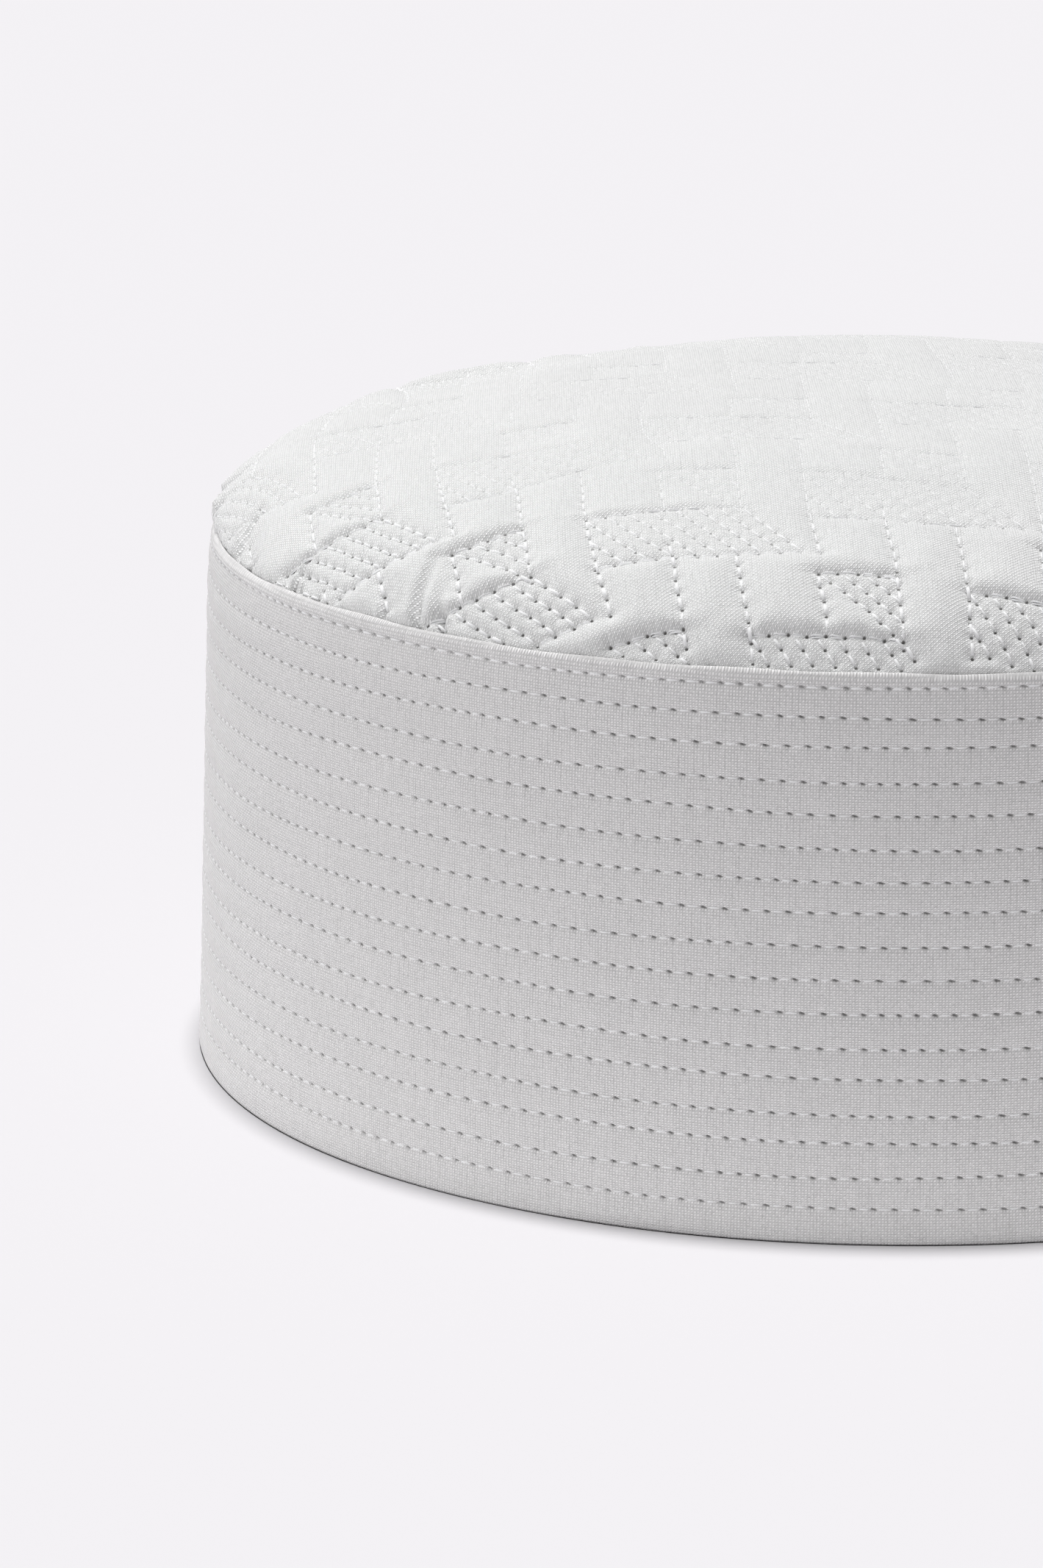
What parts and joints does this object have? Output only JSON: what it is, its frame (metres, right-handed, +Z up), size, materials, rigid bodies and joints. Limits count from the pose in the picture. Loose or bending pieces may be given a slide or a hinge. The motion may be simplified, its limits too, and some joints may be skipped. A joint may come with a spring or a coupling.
{
  "type": "cap",
  "caption": "Low oval cap in white stitched cotton: a stiff upright band, and a shallow, padded crown gathered into the band's top seam.",
  "frame": {"origin": "on the surface that the cap stands on, in the middle of the band's foot", "axes": "+Z up through the crown; the wearer's front faces -Y, and the wearer's left side is at +X"},
  "size_m": [0.185, 0.194, 0.0905],
  "materials": {
    "band_cotton": "plain-woven white cotton, matte, in stitched layers",
    "crown_cotton": "plain-woven white cotton, matte, quilted over thin padding"
  },
  "bodies": {
    "root": {"band": "band_cotton", "crown": "crown_cotton"}
  },
  "joints": []
}
